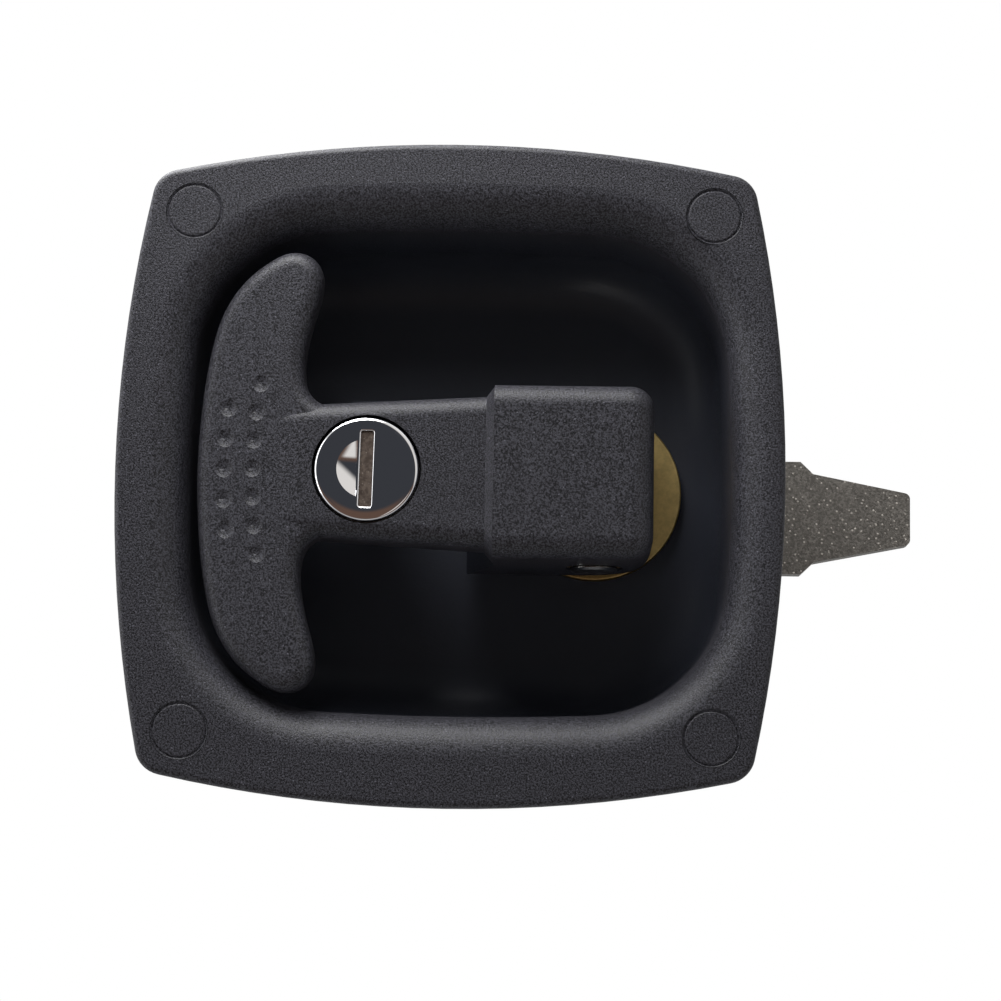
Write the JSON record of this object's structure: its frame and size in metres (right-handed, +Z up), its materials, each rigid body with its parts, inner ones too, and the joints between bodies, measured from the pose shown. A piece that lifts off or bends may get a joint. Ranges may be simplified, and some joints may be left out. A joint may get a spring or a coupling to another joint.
{
  "type": "t-handle compression latch",
  "caption": "Flush square latch: a folding T-handle in a dished housing lifts, turns and pulls a pawl tight behind a door frame, with a key lock in the stem.",
  "frame": {"origin": "centre of the four studs on the door skin, which is the gasket's back face", "axes": "+Y into the door along the studs, so the face looks along -Y; +Z up the door; +X towards the pawl"},
  "size_m": [0.1485, 0.0758, 0.12],
  "materials": {
    "black_powder_coat": "fine textured satin black powder coat on a zinc casting",
    "gasket_rubber": "matt black rubber",
    "stud_steel": "steel studs, heads coated with the flange",
    "brass": "turned brass",
    "plated_steel": "bright zinc plate",
    "pawl_steel": "tumbled steel plate with grainy zinc plating",
    "lock_zinc": "nickel plated zinc",
    "spring_steel": "oiled spring steel",
    "polished_steel": "polished stainless steel",
    "nickel_silver": "dull nickel silver"
  },
  "bodies": {
    "housing": {"dish_housing": "black_powder_coat", "flange_gasket": "gasket_rubber", "mounting_studs": "stud_steel", "thrust_washer": "brass", "spindle_bush": "brass", "spindle_seal": "gasket_rubber", "return_spring": "spring_steel"},
    "spring_carriage": {"spring_washer": "plated_steel"},
    "spindle_assembly": {"spindle": "plated_steel", "pivot_pin": "plated_steel", "spindle_circlip": "spring_steel", "stop_plate": "plated_steel", "pawl_front_nut": "plated_steel", "pawl": "pawl_steel", "pawl_lock_washer": "plated_steel", "pawl_nut": "plated_steel"},
    "handle": {"t_handle": "black_powder_coat", "pivot_bushes": "brass", "lock_housing": "lock_zinc", "lock_retaining_nut": "plated_steel"},
    "lock_core": {"lock_face_cap": "polished_steel", "keyway_shutter": "nickel_silver", "lock_plug": "brass", "tumbler_wafers": "brass", "lock_cam": "plated_steel", "cam_washer": "plated_steel", "cam_screw": "plated_steel"}
  },
  "joints": [
    {"name": "compression_travel", "type": "slide", "parent": "housing", "child": "spring_carriage", "axis": [0, 1, 0], "range_m": [0, 0.004], "deforming": ["return_spring"]},
    {"name": "spindle_turn", "type": "hinge", "parent": "spring_carriage", "child": "spindle_assembly", "pos_m": [0.0261, 0, 0], "axis": [0, 1, 0], "range_deg": [0, 90]},
    {"name": "handle_fold", "type": "hinge", "parent": "spindle_assembly", "child": "handle", "pos_m": [0.0261, 0.008, 0], "axis": [0, 0, 1], "range_deg": [0, 90]},
    {"name": "lock_turn", "type": "hinge", "parent": "handle", "child": "lock_core", "pos_m": [-0.0148, 0, 0], "axis": [0, 1, 0], "range_deg": [0, 90]}
  ],
  "couplings": [
    {"joint": "spindle_turn", "follows": "handle_fold", "ratio": 1},
    {"joint": "compression_travel", "follows": "handle_fold", "m_per_rad": 0.0025465}
  ]
}
